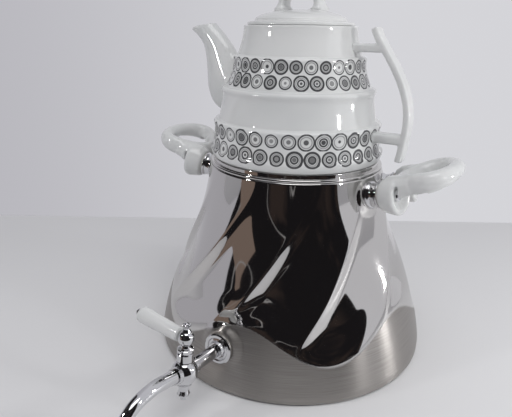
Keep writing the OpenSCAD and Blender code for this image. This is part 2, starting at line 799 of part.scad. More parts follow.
module pot_handle() {
    rotate([90, 0, 0]) linear_extrude(strap_w, center = true)
        polygon(concat(strap_edge(1), reversed(strap_edge(-1))));
    bridge(tier4_r - pot_wall, high_bridge_up, high_bridge_t);
    bridge(tier1_r - pot_wall - 2, low_bridge_up, low_bridge_t);
}

// Nine holes through the wall at the spout's root
hole_r = 2.2;
module strainer_holes() {
    for (row = [0:2]) for (k = [-1:1])
        translate([-tier3_r - pot_wall, k * 3 * hole_r, tier1_h + (3 * row + 4) * hole_r])
            rotate([0, 90, 0]) cylinder(r = hole_r, h = 6 * pot_wall, center = true);
}

// The body, its spout and its handle are thrown apart, luted together and fired as one
module teapot() {
    color(porcelain) translate([0, 0, pot_z]) difference() {
        pot_outer();
        pot_inner();
        strainer_holes();
    }
}
module teapot_spout() {
    color(porcelain) translate([0, 0, pot_z]) difference() {
        pot_spout(0, 0);
        pot_spout(spout_wall, 0.5);
        pot_outer();
    }
}
module teapot_handle() {
    color(porcelain) translate([0, 0, pot_z]) difference() {
        pot_handle();
        pot_outer();
    }
}

// ---- Lid ----

lid_z = pot_z + pot_h + rest_gap;
lid_r = rim_r - lid_inset;
lid_skirt_r = mouth_r - skirt_gap;
lid_skirt_h = 7;
lid_rim_t = 2.2;
dome_r = lid_r - 5.5;
vent_r = 1.4;
vent_y = 22;
function dome(a, wall) = [(dome_r - wall) * cos(a),
    mix(lid_rim_t + 1, dome_h, sin(a)) - wall];
module lid() {
    color(porcelain) translate([0, 0, lid_z]) difference() {
        union() {
            rotate_extrude() polygon(concat(
                [[0, 0], [lid_r - 0.6, 0], [lid_r, 0.6], [lid_r, lid_rim_t - 0.6],
                    [lid_r - 0.8, lid_rim_t], [dome_r + 0.6, lid_rim_t + 0.8]],
                [for (a = [0:9:81]) dome(a, 0)], [[0, dome_h]]));
            ring(lid_skirt_r, lid_skirt_r - lid_wall, -lid_skirt_h, lid_skirt_h + 1);
            lid_loop();
        }
        rotate_extrude() polygon(concat(
            [[0, -1], [lid_skirt_r - lid_wall, -1], [lid_skirt_r - lid_wall, 0]],
            [for (a = [27:9:81]) dome(a, lid_wall)], [[0, dome_h - lid_wall]]));
        translate([0, vent_y, 0]) cylinder(r = vent_r, h = dome_h + 1, $fn = 24);
    }
}

loop_half = 15;
loop_t = 4.6;
module lid_loop() {
    arch = [for (a = [-14:8:194]) [cos(a), sin(a)]];
    rotate([90, 0, 0]) linear_extrude(loop_w, center = true) translate([0, dome_h])
        polygon(concat([for (p = arch) [(loop_half + loop_t / 2) * p[0], loop_h * p[1]]],
            reversed([for (p = arch)
                [(loop_half - loop_t / 2) * p[0], (loop_h - loop_t) * p[1]]])));
}

kettle_body();
capsule_cover();
core_disc();
bottom_pan();
top_collar();
grip_right();
grip_left();
standoff_right();
standoff_left();
grip_cushions();
grip_screws();
grip_seals();
grip_washers();
grip_nuts();
tap_gasket();
tap_escutcheon();
tap_body();
spout_tube();
tap_seal();
tap_washer();
tap_nut();
plug();
plug_rings();
plug_washer();
bottom_nut();
lever_ball();
crown_finial();
lever_rod();
lever_grip();
lever_tip();
teapot();
teapot_spout();
teapot_handle();
lid();
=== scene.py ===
import json
import math
import bpy
from mathutils import Matrix, Vector
from mathutils.bvhtree import BVHTree


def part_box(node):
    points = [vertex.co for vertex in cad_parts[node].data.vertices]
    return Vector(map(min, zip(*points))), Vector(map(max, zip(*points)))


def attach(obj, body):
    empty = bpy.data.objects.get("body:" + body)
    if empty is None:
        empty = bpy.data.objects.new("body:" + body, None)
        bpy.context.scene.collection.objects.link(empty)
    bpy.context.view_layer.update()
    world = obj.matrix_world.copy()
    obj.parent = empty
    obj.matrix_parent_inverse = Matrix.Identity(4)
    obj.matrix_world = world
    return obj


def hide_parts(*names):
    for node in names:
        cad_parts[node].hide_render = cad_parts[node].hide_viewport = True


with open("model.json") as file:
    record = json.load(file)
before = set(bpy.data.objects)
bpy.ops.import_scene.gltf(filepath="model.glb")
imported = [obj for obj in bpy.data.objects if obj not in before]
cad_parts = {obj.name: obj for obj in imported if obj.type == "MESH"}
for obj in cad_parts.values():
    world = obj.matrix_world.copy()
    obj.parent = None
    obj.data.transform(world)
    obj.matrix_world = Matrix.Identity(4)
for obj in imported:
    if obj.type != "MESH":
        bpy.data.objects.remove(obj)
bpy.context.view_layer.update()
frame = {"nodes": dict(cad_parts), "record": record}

upright = Matrix.Identity(4)
print("frame loaded")


# Helpers for shapes, all in metres
def mix(a, b, t):
    return a + (b - a) * t


def ease(t):
    t = min(max(t, 0.0), 1.0)
    return t * t * (3 - 2 * t)


def addPiece(name, points, faces, place=upright):
    mesh = bpy.data.meshes.new(name)
    mesh.from_pydata([tuple(place @ Vector(p)) for p in points], [], faces)
    mesh.update()
    mesh.shade_smooth()
    piece = bpy.data.objects.new(name, mesh)
    bpy.context.scene.collection.objects.link(piece)
    return piece


def weave(rows, columns, looped=False):  # quads between rings, the last joined to the first if looped
    count = rows if looped else rows - 1
    return [(k * columns + i, k * columns + (i + 1) % columns,
             (k + 1) % rows * columns + (i + 1) % columns, (k + 1) % rows * columns + i)
            for k in range(count) for i in range(columns)]


def loft(name, rings, place=upright, looped=False):  # capped at both ends unless looped
    columns = len(rings[0])
    faces = weave(len(rings), columns, looped)
    if not looped:
        faces.append(tuple(reversed(range(columns))))
        faces.append(tuple(range((len(rings) - 1) * columns, len(rings) * columns)))
    return addPiece(name, [p for ring in rings for p in ring], faces, place)


def softened(outline, steps=5):  # each point is (radius, height, rounding)
    soft = []
    last = len(outline) - 1
    for k, point in enumerate(outline):
        here = Vector(point[:2])
        reach = point[2] if len(point) > 2 else 0
        if k in (0, last) or reach == 0:
            soft.append(here)
            continue
        before = Vector(outline[k - 1][:2])
        after = Vector(outline[k + 1][:2])
        start = here + (before - here).normalized() * min(reach, (before - here).length * 0.49)
        end = here + (after - here).normalized() * min(reach, (after - here).length * 0.49)
        for step in range(steps + 1):
            t = step / steps
            soft.append(start * (1 - t) ** 2 + here * 2 * t * (1 - t) + end * t * t)
    return soft


def lathe(name, outline, place=upright, sides=96, closed=False):  # turns (radius, height) points about z
    angles = [2 * math.pi * i / sides for i in range(sides)]
    points = []
    rings = []
    for radius, height in outline:
        if radius < 1e-7:
            rings.append([len(points)] * sides)
            points.append((0, 0, height))
        else:
            rings.append(list(range(len(points), len(points) + sides)))
            points += [(radius * math.cos(a), radius * math.sin(a), height) for a in angles]
    pairs = list(zip(rings, rings[1:] + rings[:1] if closed else rings[1:]))
    faces = []
    for low, high in pairs:
        for i in range(sides):
            j = (i + 1) % sides
            corners = []
            for corner in (low[i], low[j], high[j], high[i]):
                if corner not in corners:
                    corners.append(corner)
            if len(corners) > 2:
                faces.append(tuple(corners))
    return addPiece(name, points, faces, place)


def curveThrough(points, steps):  # a smooth line through given vectors
    line = []
    for k in range(len(points) - 1):
        a = points[max(k - 1, 0)]
        b, c = points[k], points[k + 1]
        d = points[min(k + 2, len(points) - 1)]
        for step in range(steps):
            t = step / steps
            line.append(b + (c - a) * 0.5 * t + (a - 2.5 * b + 2 * c - 0.5 * d) * t * t
                        + (1.5 * b - 0.5 * a - 1.5 * c + 0.5 * d) * t ** 3)
    return line + [points[-1]]


def join(name, pieces):
    with bpy.context.temp_override(active_object=pieces[0], selected_editable_objects=pieces):
        bpy.ops.object.join()
    pieces[0].name = name
    return pieces[0]


def settle(piece):  # puts the modifiers' result into the mesh
    graph = bpy.context.evaluated_depsgraph_get()
    result = bpy.data.meshes.new_from_object(piece.evaluated_get(graph))
    piece.modifiers.clear()
    piece.data = result
    result.shade_smooth()


def addModifier(piece, kind, **values):
    modifier = piece.modifiers.new(kind.title(), kind)
    for key, value in values.items():
        setattr(modifier, key, value)
    return modifier


def surfaceOf(piece):
    return BVHTree.FromPolygons([v.co for v in piece.data.vertices],
                                [p.vertices for p in piece.data.polygons])


def seamMoves(piece, neighbour, reach):  # how far each point swells where two glazed forms meet
    moves = {}
    for vertex in piece.data.vertices:
        spot, normal, face, distance = neighbour.find_nearest(vertex.co, reach)
        if spot is None:
            continue
        outside = (vertex.co - spot).dot(normal) > 0
        gap = distance if outside else 0
        lean = (vertex.normal + normal).normalized()
        moves[vertex.index] = lean * reach / 4 * (1 - gap / reach) ** 2
    return moves


def blendSeam(a, b, reach):
    treeA, treeB = surfaceOf(a), surfaceOf(b)
    plans = [(a, seamMoves(a, treeB, reach)), (b, seamMoves(b, treeA, reach))]
    for piece, moves in plans:
        for index, move in moves.items():
            piece.data.vertices[index].co += move
        piece.data.update()


# Helpers for materials
def startMaterial(name):
    material = bpy.data.materials.new(name)
    material.use_nodes = True
    return material, material.node_tree, material.node_tree.nodes["Principled BSDF"]


def addNode(tree, kind, inputs=None, **values):
    node = tree.nodes.new(kind)
    for key, value in values.items():
        setattr(node, key, value)
    for key, value in (inputs or {}).items():
        if isinstance(value, bpy.types.NodeSocket):
            tree.links.new(value, node.inputs[key])
        else:
            node.inputs[key].default_value = value
    return node


def calc(tree, operation, a, b=0.0, c=0.0):
    node = addNode(tree, "ShaderNodeMath", {0: a, 1: b, 2: c}, operation=operation)
    return node.outputs[0]


def rise(tree, value, low, high):  # 0 below low, 1 above high
    node = addNode(tree, "ShaderNodeMapRange", {0: value, 1: low, 2: high},
                   interpolation_type="SMOOTHSTEP")
    return node.outputs[0]


def blendColours(tree, factor, a, b):
    node = addNode(tree, "ShaderNodeMix", {0: factor, 6: a, 7: b}, data_type="RGBA")
    return node.outputs[2]


def roundCoordinates(tree):  # place, angle about z in radians from the front, and height
    place = addNode(tree, "ShaderNodeTexCoord")
    parts = addNode(tree, "ShaderNodeSeparateXYZ", {0: place.outputs["Object"]})
    angle = calc(tree, "ARCTAN2", parts.outputs[0], calc(tree, "MULTIPLY", parts.outputs[1], -1))
    return place.outputs["Object"], angle, parts.outputs[2]


def addNoise(tree, vector, scale, detail=3.0, roughness=0.5):
    node = addNode(tree, "ShaderNodeTexNoise", {"Vector": vector, "Scale": scale,
                                                "Detail": detail, "Roughness": roughness})
    return node.outputs[0]


def addBump(tree, shader, height, strength, distance):
    bump = addNode(tree, "ShaderNodeBump", {"Height": height, "Strength": strength,
                                            "Distance": distance})
    tree.links.new(bump.outputs[0], shader.inputs["Normal"])


def setShader(shader, **values):
    for key, value in values.items():
        shader.inputs[key].default_value = value


# The camera, with its angles in degrees
cameraSet = {"place": (0.1784, -0.3501, 0.2478), "heading": 31.57, "pitch": 19.69, "roll": 0.865,
             "focalPixels": 493.5, "imagePixels": 512, "sensor": 36, "clip": (0.01, 50)}


def makeCamera():
    data = bpy.data.cameras.new("camera")
    data.sensor_width = cameraSet["sensor"]
    data.lens = cameraSet["focalPixels"] / cameraSet["imagePixels"] * cameraSet["sensor"]
    data.clip_start, data.clip_end = cameraSet["clip"]
    camera = bpy.data.objects.new("camera", data)
    bpy.context.scene.collection.objects.link(camera)
    turns = [("Z", cameraSet["heading"]), ("X", 90 - cameraSet["pitch"]), ("Z", cameraSet["roll"])]
    matrix = Matrix.Translation(cameraSet["place"])
    for axis, degrees in turns:
        matrix = matrix @ Matrix.Rotation(math.radians(degrees), 4, axis)
    camera.matrix_world = matrix
    bpy.context.scene.camera = camera


floorSet = {"reach": 6.0, "back": 0.257, "edge": 0.001, "colour": (0.76, 0.76, 0.765, 1), "roughness": 0.42,
            "specular": 0.3, "grain": 90, "relief": (0.05, 0.001)}
roomTurn = Matrix.Rotation(math.radians(cameraSet["heading"]), 4, "Z")  # y runs towards the wall

# The wall is the world and the floor's far part, so that nothing hides the samovar from behind.
# Its colour is painted shade, darker to the left where the wall was less lit, and its shades spread from
# the middle. Azimuths are counted from front, positive to the right
roomSet = {"front": 27, "left": (0.48, 0.475, 0.51, 1), "right": (0.66, 0.66, 0.69, 1),
           "fade": (-0.645, 0.28), "middle": (-0.0313, -0.3917), "nearest": 0.5, "fill": 0.72}


def wallLight(tree, across, ahead):  # colour, painted shade darker to the left and paler to the right, and strength, less as fill light
    slope = calc(tree, "DIVIDE", across, calc(tree, "MAXIMUM", ahead, roomSet["nearest"]))
    kinds = addNode(tree, "ShaderNodeLightPath").outputs
    seen = calc(tree, "MAXIMUM", kinds["Is Camera Ray"],
                calc(tree, "MAXIMUM", kinds["Is Glossy Ray"], kinds["Is Transmission Ray"]))
    return (blendColours(tree, rise(tree, slope, *roomSet["fade"]), roomSet["left"], roomSet["right"]),
            calc(tree, "MULTIPLY_ADD", seen, 1 - roomSet["fill"], roomSet["fill"]))


def makeFloor():
    reach, back, edge = floorSet["reach"], floorSet["back"], floorSet["edge"]
    corners = [(-reach, -reach, 0), (reach, -reach, 0), (reach, reach, 0), (-reach, reach, 0)]
    floor = addPiece("floor", corners, [(0, 1, 2, 3)])
    floor.matrix_world = roomTurn
    material, tree, shader = startMaterial("paleFloor")
    place = addNode(tree, "ShaderNodeTexCoord").outputs["Object"]
    grain = addNoise(tree, place, floorSet["grain"])
    setShader(shader, **{"Base Color": floorSet["colour"], "Roughness": floorSet["roughness"],
                         "Specular IOR Level": floorSet["specular"]})
    addBump(tree, shader, grain, *floorSet["relief"])
    x, y = addNode(tree, "ShaderNodeSeparateXYZ", {0: place}).outputs[:2]
    # the far part glows in the wall's colour, with its painted shade darker to the left
    colour, strength = wallLight(tree, calc(tree, "SUBTRACT", x, roomSet["middle"][0]),
                                 calc(tree, "SUBTRACT", y, roomSet["middle"][1]))
    wall = addNode(tree, "ShaderNodeEmission", {"Color": colour, "Strength": strength})
    mixed = addNode(tree, "ShaderNodeMixShader", {0: rise(tree, y, back - edge, back + edge),
                                                  1: shader.outputs[0], 2: wall.outputs[0]})
    tree.links.new(mixed.outputs[0], tree.nodes["Material Output"].inputs["Surface"])
    floor.data.materials.append(material)


def makeRoom():
    world = bpy.data.worlds.new("room")
    bpy.context.scene.world = world
    world.use_nodes = True
    tree = world.node_tree
    background = tree.nodes["Background"]
    direction = addNode(tree, "ShaderNodeTexCoord").outputs["Generated"]
    across, ahead = [addNode(tree, "ShaderNodeVectorMath", {0: direction, 1: roomTurn.col[k].xyz},
                             operation="DOT_PRODUCT").outputs["Value"] for k in (0, 1)]
    # the world carries the same painted shade of the wall, darker to the left
    colour, strength = wallLight(tree, across, ahead)
    tree.links.new(colour, background.inputs["Color"])
    tree.links.new(strength, background.inputs["Strength"])


# Studio cards that only shine shows, so that the polished steel has something to mirror.
# The left edge leans from the first azimuth at the foot to the second one higher up.
# Patches and lines each have the scale of their noise and the two values it rises between
cardSet = {"columns": 24, "rows": 14, "leanFrom": 0.07, "leanOver": 0.20, "line": (0.30, 0.29, 0.29, 1),
           "patches": (5.5, 0.54, 0.68), "lines": (3.1, 0.002, 0.005)}
cards = [
    {"name": "frontCard", "left": (-55, -122), "right": 52, "low": 0.002, "high": 1.1, "distance": 0.56,
     "colour": (0.011, 0.010, 0.011, 1), "patch": (0.035, 0.026, 0.023, 1)},
    {"name": "tanCard", "left": (-66, -66), "right": -47, "low": 0.01, "high": 0.19, "distance": 0.54,
     "colour": (0.20, 0.15, 0.125, 1), "patch": (0.06, 0.045, 0.04, 1)},
    {"name": "brownCard", "left": (-4, -4), "right": 12, "low": 0.10, "high": 0.21, "distance": 0.54,
     "colour": (0.011, 0.010, 0.011, 1), "patch": (0.11, 0.055, 0.035, 1)},
]


def cardMaterial(card):
    material, tree, shader = startMaterial(card["name"] + "Finish")
    place = addNode(tree, "ShaderNodeTexCoord").outputs["Object"]
    scale, low, high = cardSet["patches"]
    patches = rise(tree, addNoise(tree, place, scale, 3), low, high)
    colour = blendColours(tree, patches, card["colour"], card["patch"])
    scale, low, high = cardSet["lines"]
    contour = calc(tree, "ABSOLUTE", calc(tree, "SUBTRACT", addNoise(tree, place, scale, 1), 0.5))
    lines = calc(tree, "SUBTRACT", 1.0, rise(tree, contour, low, high))
    colour = blendColours(tree, lines, colour, cardSet["line"])
    tree.links.new(colour, shader.inputs["Emission Color"])
    setShader(shader, **{"Base Color": (0, 0, 0, 1), "Emission Strength": 1.0, "Specular IOR Level": 0.0})
    return material


def makeCards():
    columns, rows = cardSet["columns"], cardSet["rows"]
    for spec in cards:
        points = []
        for j in range(rows + 1):
            z = mix(spec["low"], spec["high"], (j / rows) ** 2)
            left = mix(*spec["left"], ease((z - cardSet["leanFrom"]) / cardSet["leanOver"]))
            for k in range(columns + 1):
                turn = math.radians(roomSet["front"] + mix(left, spec["right"], k / columns))
                points.append((spec["distance"] * math.sin(turn), -spec["distance"] * math.cos(turn), z))
        faces = [(j * (columns + 1) + k, j * (columns + 1) + k + 1, (j + 1) * (columns + 1) + k + 1,
                  (j + 1) * (columns + 1) + k) for j in range(rows) for k in range(columns)]
        card = addPiece(spec["name"], points, faces)
        card.data.materials.append(cardMaterial(spec))
        card.visible_camera = False
        card.visible_diffuse = False
        card.visible_shadow = False


lampSet = [
    {"name": "leftLamp", "azimuth": -60, "height": 24, "distance": 0.5, "size": 0.035, "power": 0.3},
    {"name": "rightLamp", "azimuth": 58, "height": 15, "distance": 0.5, "size": 0.035, "power": 0.35},
    {"name": "sideLamp", "azimuth": 83, "height": 5, "distance": 0.7, "size": 0.04, "power": 0.8},
    {"name": "overhead", "azimuth": 15, "height": 68, "distance": 1.4, "size": 0.9, "power": 6},
]
lampTarget = Vector((0, 0, 0.14))


def makeLamps():
    for lamp in lampSet:
        data = bpy.data.lights.new(lamp["name"], "AREA")
        data.size = lamp["size"]
        data.energy = lamp["power"]
        turn = math.radians(roomSet["front"] + lamp["azimuth"])
        lift = math.radians(lamp["height"])
        away = Vector((math.sin(turn) * math.cos(lift), -math.cos(turn) * math.cos(lift), math.sin(lift)))
        light = bpy.data.objects.new(lamp["name"], data)
        light.location = lampTarget + away * lamp["distance"]
        light.rotation_mode = "QUATERNION"
        light.rotation_quaternion = (-away).to_track_quat("-Z", "Y")
        bpy.context.scene.collection.objects.link(light)


makeCamera()
makeFloor()
makeRoom()
makeCards()
makeLamps()
bpy.context.scene.view_settings.view_transform = "Standard"
print("camera, floor and light made")


# The satin band at the kettle's foot, whose upper edge rises and falls around the wall. Its dark and light
# colours sit well below steel's, painted shade for the dim room that the brushed band mirrors
bandSet = {"height": 0.040, "wave": 0.012, "lobes": 5, "low": math.radians(44), "edge": 0.0012,
           "dark": (0.33, 0.31, 0.295, 1), "light": (0.42, 0.40, 0.38, 1),
           "rough": 0.29, "roughSpread": 0.10, "streaks": 3.0, "streakRise": 900, "streakRelief": 0.02,
           "brushed": 0.93, "brushTurn": 0.25}
steelSet = {"dark": (0.62, 0.605, 0.595, 1), "light": (0.67, 0.66, 0.65, 1), "clouds": 14, "rough": 0.035,
            "roughSpread": 0.03, "wobble": 22, "relief": (0.12, 0.0012)}


def bandEdge(angle):
    return bandSet["height"] - bandSet["wave"] * math.cos(bandSet["lobes"] * (angle - bandSet["low"]))


def polishedSteel(withBand):
    material, tree, shader = startMaterial("polishedSteelBand" if withBand else "polishedSteel")
    place, angle, height = roundCoordinates(tree)
    cloud = addNoise(tree, place, steelSet["clouds"], 2)
    colour = blendColours(tree, cloud, steelSet["dark"], steelSet["light"])
    relief = addNoise(tree, place, steelSet["wobble"], 1)
    rough = calc(tree, "MULTIPLY_ADD", cloud, steelSet["roughSpread"], steelSet["rough"])
    if withBand:
        climb = calc(tree, "MULTIPLY", height, bandSet["streakRise"])
        streakPlace = addNode(tree, "ShaderNodeCombineXYZ", {0: angle, 2: climb})
        streaks = addNoise(tree, streakPlace.outputs[0], bandSet["streaks"], 4)
        phase = calc(tree, "MULTIPLY", calc(tree, "SUBTRACT", angle, bandSet["low"]), bandSet["lobes"])
        wave = calc(tree, "MULTIPLY", calc(tree, "COSINE", phase), bandSet["wave"])
        above = calc(tree, "ADD", calc(tree, "SUBTRACT", height, bandSet["height"]), wave)
        shine = rise(tree, above, -bandSet["edge"], bandSet["edge"])
        dull = calc(tree, "SUBTRACT", 1.0, shine)
        satin = calc(tree, "MULTIPLY_ADD", streaks, bandSet["roughSpread"], bandSet["rough"])
        rough = calc(tree, "ADD", calc(tree, "MULTIPLY", shine, rough), calc(tree, "MULTIPLY", dull, satin))
        grooves = calc(tree, "MULTIPLY", streaks, bandSet["streakRelief"])
        relief = calc(tree, "MULTIPLY_ADD", dull, grooves, relief)
        # streaks of the brushing between the band's dark and light, both held dark as painted shade
        brushed = blendColours(tree, rise(tree, streaks, 0.3, 0.7), bandSet["dark"], bandSet["light"])
        colour = blendColours(tree, shine, brushed, colour)
        around = addNode(tree, "ShaderNodeTangent", direction_type="RADIAL", axis="Z")
        tree.links.new(around.outputs[0], shader.inputs["Tangent"])
        tree.links.new(calc(tree, "MULTIPLY", dull, bandSet["brushed"]), shader.inputs["Anisotropic"])
        setShader(shader, **{"Anisotropic Rotation": bandSet["brushTurn"]})
    tree.links.new(rough, shader.inputs["Roughness"])
    tree.links.new(colour, shader.inputs["Base Color"])
    setShader(shader, Metallic=1.0)
    addBump(tree, shader, relief, *steelSet["relief"])
    return material


def plainMetal(name, light, dark, rough, roughSpread, scale):
    material, tree, shader = startMaterial(name)
    place = addNode(tree, "ShaderNodeTexCoord").outputs["Object"]
    cloud = addNoise(tree, place, scale, 4)
    tree.links.new(blendColours(tree, cloud, dark, light), shader.inputs["Base Color"])
    tree.links.new(calc(tree, "MULTIPLY_ADD", cloud, roughSpread, rough), shader.inputs["Roughness"])
    setShader(shader, Metallic=1.0)
    addBump(tree, shader, cloud, 0.04, 0.0003)
    return material


def softRubber(name, colour, shade):
    material, tree, shader = startMaterial(name)
    place = addNode(tree, "ShaderNodeTexCoord").outputs["Object"]
    grain = addNoise(tree, place, 1600, 2)
    tree.links.new(blendColours(tree, grain, shade, colour), shader.inputs["Base Color"])
    setShader(shader, Roughness=0.62)
    addBump(tree, shader, grain, 0.15, 0.0002)
    return material


glazeSet = {"white": (0.76, 0.765, 0.755, 1), "pooled": (0.65, 0.665, 0.66, 1), "rough": 0.07, "ior": 1.55,
            "pools": 17, "ripple": 55, "relief": (0.05, 0.0006)}


def glaze(tree, shader, place):
    pools = addNoise(tree, place, glazeSet["pools"], 2)
    ripple = addNoise(tree, place, glazeSet["ripple"], 2)
    setShader(shader, Roughness=glazeSet["rough"], IOR=glazeSet["ior"])
    addBump(tree, shader, ripple, *glazeSet["relief"])
    return blendColours(tree, rise(tree, pools, 0.3, 0.9), glazeSet["white"], glazeSet["pooled"])


def porcelain():
    material, tree, shader = startMaterial("porcelain")
    place = addNode(tree, "ShaderNodeTexCoord").outputs["Object"]
    tree.links.new(glaze(tree, shader, place), shader.inputs["Base Color"])
    return material


# Two printed bands, each of two rows of ringed dots
printBands = [{"low": 0.1605, "pitch": 0.0117, "around": 34, "seed": 3.0},
              {"low": 0.2105, "pitch": 0.0102, "around": 31, "seed": 11.0}]
# Radii and widths of rings and dot are shares of a dot's cell, each with how far chance varies it
printSet = {"ink": (0.022, 0.022, 0.026, 1), "strength": 0.92, "shift": 0.37, "softness": 0.02,
            "radius": 0.36, "radiusSpread": 0.13, "line": 0.05, "lineSpread": 0.03,
            "middle": 0.72, "middleLine": 0.045, "middleInk": 0.55, "inner": 0.46, "innerLine": 0.06,
            "innerOdds": 0.35, "dot": 0.07, "dotEdge": 0.10, "dotSpread": 0.09,
            "dotInk": 0.6, "dotInkSpread": 0.4}


def ringLine(tree, distance, radius, width):  # 1 on a thin circle of that radius
    off = calc(tree, "ABSOLUTE", calc(tree, "SUBTRACT", distance, radius))
    solid = calc(tree, "SUBTRACT", width, printSet["softness"])
    return calc(tree, "SUBTRACT", 1.0, rise(tree, off, solid, width))


def printedBand(tree, angle, height, band):
    p = printSet
    along = calc(tree, "MULTIPLY", angle, band["around"] / (2 * math.pi))
    up = calc(tree, "DIVIDE", calc(tree, "SUBTRACT", height, band["low"]), band["pitch"])
    row = calc(tree, "FLOOR", up)
    along = calc(tree, "MULTIPLY_ADD", row, p["shift"], along)
    cell = calc(tree, "FLOOR", along)
    key = addNode(tree, "ShaderNodeCombineXYZ", {0: cell, 1: row, 2: band["seed"]})
    chance = addNode(tree, "ShaderNodeTexWhiteNoise", {0: key.outputs[0]}, noise_dimensions="3D")
    odds = addNode(tree, "ShaderNodeSeparateColor", {0: chance.outputs["Color"]}).outputs
    x = calc(tree, "SUBTRACT", calc(tree, "FRACT", along), 0.5)
    y = calc(tree, "SUBTRACT", calc(tree, "FRACT", up), 0.5)
    squares = [calc(tree, "MULTIPLY", side, side) for side in (x, y)]
    distance = calc(tree, "SQRT", calc(tree, "ADD", *squares))
    radius = calc(tree, "MULTIPLY_ADD", odds[0], p["radiusSpread"], p["radius"])
    width = calc(tree, "MULTIPLY_ADD", odds[1], p["lineSpread"], p["line"])
    lines = ringLine(tree, distance, radius, width)
    middle = ringLine(tree, distance, calc(tree, "MULTIPLY", radius, p["middle"]), p["middleLine"])
    inner = ringLine(tree, distance, calc(tree, "MULTIPLY", radius, p["inner"]), p["innerLine"])
    rim = [calc(tree, "MULTIPLY_ADD", odds[2], p["dotSpread"], p[edge]) for edge in ("dot", "dotEdge")]
    dot = calc(tree, "SUBTRACT", 1.0, rise(tree, distance, *rim))
    kept = calc(tree, "GREATER_THAN", odds[1], p["innerOdds"])
    dotInk = calc(tree, "MULTIPLY_ADD", odds[0], p["dotInkSpread"], p["dotInk"])
    marks = calc(tree, "MAXIMUM", lines, calc(tree, "MULTIPLY", middle, p["middleInk"]))
    marks = calc(tree, "MAXIMUM", marks, calc(tree, "MULTIPLY", inner, kept))
    marks = calc(tree, "MAXIMUM", marks, calc(tree, "MULTIPLY", dot, dotInk))
    inside = calc(tree, "MULTIPLY", calc(tree, "GREATER_THAN", up, 0.0), calc(tree, "LESS_THAN", up, 2.0))
    return calc(tree, "MULTIPLY", marks, inside)


def printedPorcelain():
    material, tree, shader = startMaterial("printedPorcelain")
    place, angle, height = roundCoordinates(tree)
    marks = [printedBand(tree, angle, height, band) for band in printBands]
    printed = calc(tree, "MULTIPLY", calc(tree, "MAXIMUM", *marks), printSet["strength"])
    colour = blendColours(tree, printed, glaze(tree, shader, place), printSet["ink"])
    tree.links.new(colour, shader.inputs["Base Color"])
    return material


bandSteel = polishedSteel(True)
mirrorSteel = polishedSteel(False)
satinSteel = plainMetal("satinSteel", light=(0.66, 0.66, 0.67, 1), dark=(0.56, 0.56, 0.57, 1),
                        rough=0.26, roughSpread=0.12, scale=240)
brightChrome = plainMetal("brightChrome", light=(0.70, 0.70, 0.71, 1), dark=(0.63, 0.63, 0.65, 1),
                          rough=0.03, roughSpread=0.04, scale=120)
rawAluminium = plainMetal("rawAluminium", light=(0.72, 0.73, 0.75, 1), dark=(0.62, 0.63, 0.65, 1),
                          rough=0.36, roughSpread=0.1, scale=300)
whitePorcelain = porcelain()
ringPorcelain = printedPorcelain()
milkySilicone = softRubber("milkySilicone", (0.80, 0.78, 0.74, 1), (0.70, 0.68, 0.64, 1))
blackRubber = softRubber("blackRubber", (0.03, 0.03, 0.03, 1), (0.015, 0.015, 0.015, 1))
slotFinish = {"polished_steel": mirrorSteel, "satin_steel": satinSteel, "chrome": brightChrome,
              "porcelain": whitePorcelain, "aluminium": rawAluminium, "silicone": milkySilicone,
              "black_rubber": blackRubber}


def dress(piece, material, body, slot, *nodes):
    piece.data.materials.clear()
    piece.data.materials.append(material)
    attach(piece, body)
    if nodes:
        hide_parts(*nodes)
    return piece


print("finishes made")


# The kettle's wall, with its twisted flutes. Turn is in radians to the metre
kettle = {"footRadius": 0.112, "neckRadius": 0.0685, "skirt": 0.007, "sheet": 0.001, "footRound": 0.0012,
          "flutes": 10, "fluteDepth": 0.005, "fluteTurn": math.radians(420), "fluteStart": math.radians(14),
          "stepShare": 0.24, "crestRound": 0.02, "fadeLow": 0.024, "fadeTop": 0.080,
          "rows": 130, "perFlute": 36, "padBlend": 0.006, "padDepth": 0.03}
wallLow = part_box("kettle_body")[0].z
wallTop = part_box("kettle_body")[1].z


def wallRadius(z):
    if z <= kettle["skirt"]:
        return kettle["footRadius"]
    u = min((z - kettle["skirt"]) / (wallTop - kettle["skirt"]), 1.0)
    fall = (max(1 - u, 0.0) ** 1.05 + (1 + math.cos(math.pi * u)) / 2) / 2
    return mix(kettle["neckRadius"], kettle["footRadius"], fall)


def groove(p):  # 0 on the crest, 1 at the bottom of the flute
    share, width = kettle["stepShare"], kettle["crestRound"]
    stepSlope = math.pi / 2 / share
    backSlope = -math.pi / 2 / (1 - share)
    offset = p if p < 0.5 else p - 1
    if abs(offset) < width:
        return backSlope * offset + (stepSlope - backSlope) / (4 * width) * (offset + width) ** 2
    if p < share:
        return math.sin(math.pi / 2 * p / share)
    return math.cos(math.pi / 2 * (p - share) / (1 - share))


def wallPoint(flute, p, z, inset):
    angle = kettle["fluteStart"] + kettle["fluteTurn"] * z + (flute + p) * 2 * math.pi / kettle["flutes"]
    fade = ease((z - bandEdge(angle)) / kettle["fadeLow"]) * ease((wallTop - z) / kettle["fadeTop"])
    radius = wallRadius(z) - kettle["fluteDepth"] * groove(p) * fade - inset
    return Vector((radius * math.sin(angle), -radius * math.cos(angle), z))


# Places of the tap and of the side handles, z along their axes
tap = {"height": 0.0335, "tilt": 7, "reach": 0.039, "padOut": 0.0012, "padRadius": 0.012}
grip = {"drop": 0.013, "tilt": 12, "spread": 11, "padOut": 0.001, "padRadius": 0.0108}
tapSeat = wallRadius(tap["height"]) + tap["padOut"]
gripHeight = wallTop - grip["drop"]
gripSeat = wallRadius(gripHeight) + grip["padOut"]


def turned(degrees, axis):
    return Matrix.Rotation(math.radians(degrees), 4, axis)


